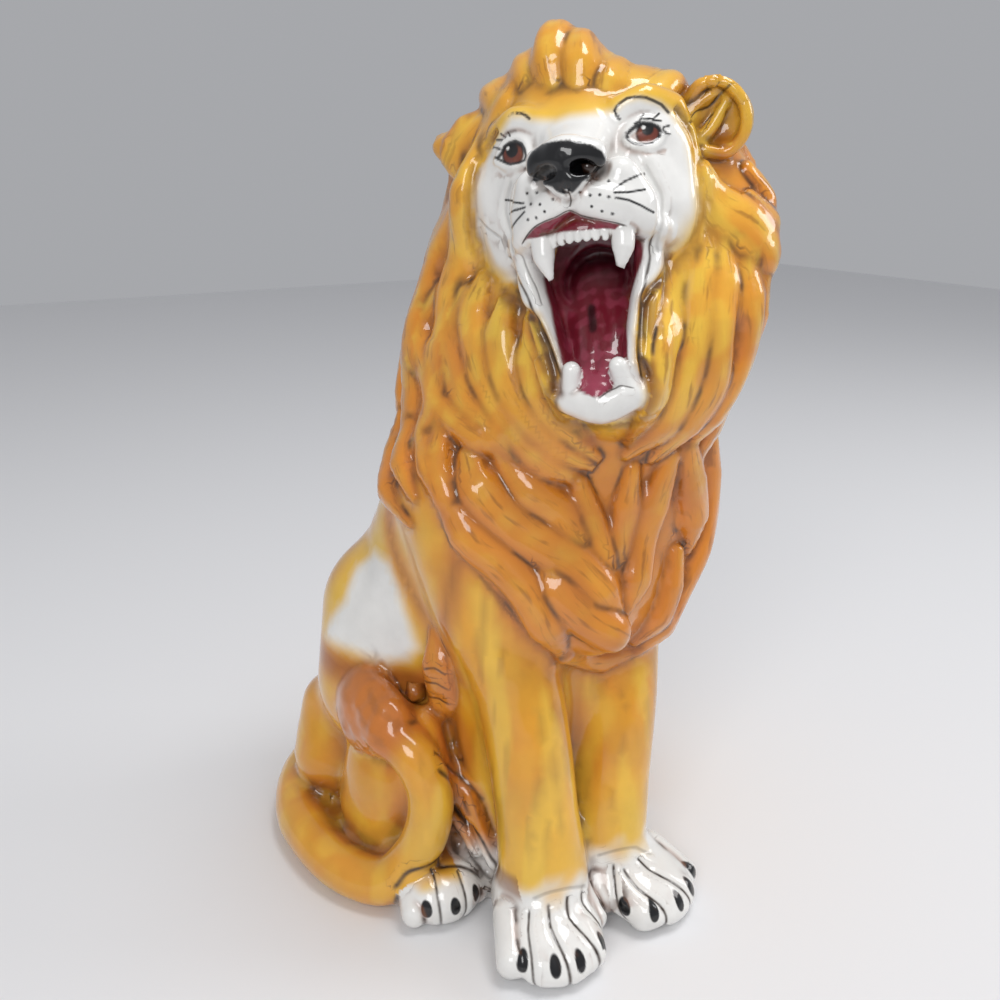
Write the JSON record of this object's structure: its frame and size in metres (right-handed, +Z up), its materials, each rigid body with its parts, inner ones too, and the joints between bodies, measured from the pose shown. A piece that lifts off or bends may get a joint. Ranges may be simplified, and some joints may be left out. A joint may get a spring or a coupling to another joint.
{
  "type": "ceramic lion figure",
  "caption": "Tall seated lion statue of glazed ceramic, roaring, with a full carved mane, its head turned aside and its tail curled round one haunch.",
  "frame": {"origin": "on the surface the figure stands on, in the body's mid-plane, between the hips and the front paws", "axes": "+Z up, -Y out of the chest, +X to the lion's own left"},
  "size_m": [0.3575, 0.3981, 0.6593],
  "materials": {
    "glazed_body": "high gloss glaze over airbrushed amber, with white face and paws"
  },
  "bodies": {
    "root": {"lion_figure": "glazed_body"}
  },
  "joints": []
}
